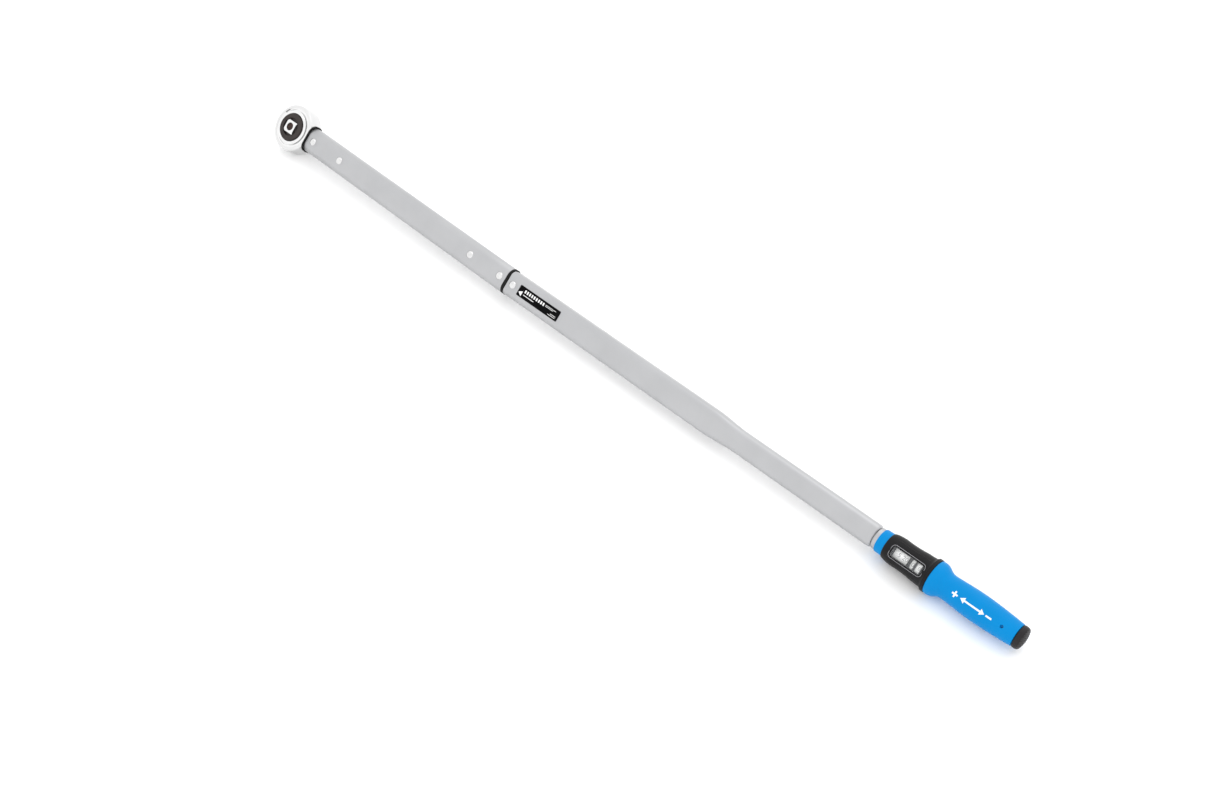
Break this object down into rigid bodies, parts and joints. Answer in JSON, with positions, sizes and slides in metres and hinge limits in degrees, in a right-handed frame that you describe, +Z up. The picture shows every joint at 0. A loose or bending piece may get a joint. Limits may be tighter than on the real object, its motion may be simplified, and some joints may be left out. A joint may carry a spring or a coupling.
{
  "type": "torque wrench",
  "caption": "Click-type torque wrench with a push-through square drive ratchet head, riveted two-piece oval tube, window scale and turning grip with a pull-out lock cap.",
  "frame": {"origin": "where the axis of the square drive crosses the middle plane of the head", "axes": "+X along the tool from the head to the grip, +Z up from the bench that the tool lies on; the drive axis leans 45 degrees, with the short end of the square up"},
  "size_m": [1.3762, 0.0672, 0.0672],
  "materials": {
    "steel_satin": "satin nickel plated",
    "steel_bright": "polished",
    "steel_dark": "black oxide",
    "steel_plain": "turned",
    "spring_steel": "spring steel",
    "rubber_black": "matt",
    "plastic_black": "fine grain",
    "plastic_blue": "soft gloss",
    "plastic_white": "satin with grey marks",
    "label_black": "printed film",
    "button_brown": "satin",
    "brass": "turned",
    "clear": "clear"
  },
  "bodies": {
    "main": {"main_tube": "steel_satin", "pivot_pin": "steel_bright", "rating_plate": "label_black", "plunger_bush": "brass", "end_bush": "steel_plain", "front_race": "steel_plain", "bearing_balls": "steel_plain", "front_ring": "plastic_blue", "scale_housing": "plastic_black", "window_lens": "clear", "main_spring": "spring_steel"},
    "lever": {"head_body": "steel_satin", "cover_plate": "steel_bright", "retaining_ring": "steel_dark", "pawl_pin": "steel_plain", "pawl_spring": "spring_steel", "head_seal": "rubber_black", "front_tube": "steel_satin", "head_rivets": "steel_bright", "link_rivets": "steel_bright", "lever_bar": "steel_plain", "joint_seal": "rubber_black"},
    "ratchet": {"ratchet_wheel": "steel_dark", "keeper_screw": "steel_dark"},
    "square": {"drive_square": "steel_bright", "button_spring": "spring_steel"},
    "button": {"release_button": "button_brown"},
    "ball": {"socket_ball": "steel_bright"},
    "pawl": {"pawl": "steel_dark"},
    "plunger": {"plunger": "steel_plain", "spring_seat": "steel_plain"},
    "toggle": {"toggle_block": "steel_dark"},
    "nut": {"spring_nut": "brass", "seat_washer": "steel_plain"},
    "grip": {"spindle": "steel_plain", "rear_race": "steel_plain", "grip": "plastic_blue", "grip_core": "steel_plain", "set_screw": "steel_dark", "drum_carrier": "plastic_black", "unit_drum": "plastic_white", "lock_nut": "steel_plain"},
    "scale": {"scale_sleeve": "plastic_white"},
    "tens": {"tens_drum": "plastic_white"},
    "cap": {"end_cap": "plastic_black", "cap_ring": "rubber_black"}
  },
  "joints": [
    {"name": "release_pivot", "type": "hinge", "parent": "main", "child": "lever", "pos_m": [0.48894, -0.00392, -0.00663], "axis": [0.0039, -0.7071, 0.7071], "range_deg": [0, 1.3], "stiffness_Nm_per_rad": 400, "springref_deg": -4.58},
    {"name": "plunger_slide", "type": "slide", "parent": "main", "child": "plunger", "axis": [1, 0, -0.0055], "range_m": [0, 0.0012]},
    {"name": "toggle_tip", "type": "hinge", "parent": "plunger", "child": "toggle", "pos_m": [0.57389, -0.00109, -0.00427], "axis": [0.0039, -0.7071, 0.7071], "range_deg": [-6.3, 0]},
    {"name": "drive_spin", "type": "hinge", "parent": "lever", "child": "ratchet", "pos_m": [0, 0, 0], "axis": [0.0039, -0.7071, 0.7071], "continuous": true},
    {"name": "square_slide", "type": "slide", "parent": "ratchet", "child": "square", "axis": [0.0039, -0.7071, 0.7071], "range_m": [0, 0.023]},
    {"name": "button_press", "type": "slide", "parent": "square", "child": "button", "axis": [-0.0039, 0.7071, -0.7071], "range_m": [0, 0.004], "stiffness_N_per_m": 600, "springref_m": -0.004, "deforming": ["button_spring"]},
    {"name": "ball_in", "type": "slide", "parent": "square", "child": "ball", "axis": [-1, 0, 0.0055], "range_m": [0, 0.0011]},
    {"name": "pawl_lift", "type": "hinge", "parent": "lever", "child": "pawl", "pos_m": [0.0361, 0.00466, 0.00446], "axis": [0.0039, -0.7071, 0.7071], "range_deg": [0, 9], "stiffness_Nm_per_rad": 0.4, "springref_deg": -8.59, "deforming": ["pawl_spring"]},
    {"name": "grip_turn", "type": "hinge", "parent": "main", "child": "grip", "pos_m": [1.26996, -0.00392, -0.01095], "axis": [1, 0, -0.0055], "range_deg": [-1800, 1800]},
    {"name": "nut_slide", "type": "slide", "parent": "main", "child": "nut", "axis": [1, 0, -0.0055], "range_m": [-0.0155, 0.0155], "deforming": ["main_spring"]},
    {"name": "scale_slide", "type": "slide", "parent": "main", "child": "scale", "axis": [1, 0, -0.0055], "range_m": [-0.0055, 0.0055]},
    {"name": "tens_spin", "type": "hinge", "parent": "main", "child": "tens", "pos_m": [1.18296, -0.00392, -0.01047], "axis": [1, 0, -0.0055], "range_deg": [-181, 181]},
    {"name": "cap_pull", "type": "slide", "parent": "grip", "child": "cap", "axis": [1, 0, -0.0055], "range_m": [0, 0.008]}
  ],
  "couplings": [
    {"joint": "plunger_slide", "follows": "release_pivot", "m_per_rad": 0.0485},
    {"joint": "toggle_tip", "follows": "release_pivot", "ratio": -4.79},
    {"joint": "ball_in", "follows": "button_press", "ratio": 0.275},
    {"joint": "nut_slide", "follows": "grip_turn", "m_per_rad": 0.000477},
    {"joint": "scale_slide", "follows": "grip_turn", "m_per_rad": 0.000159},
    {"joint": "tens_spin", "follows": "grip_turn", "ratio": 0.1}
  ]
}
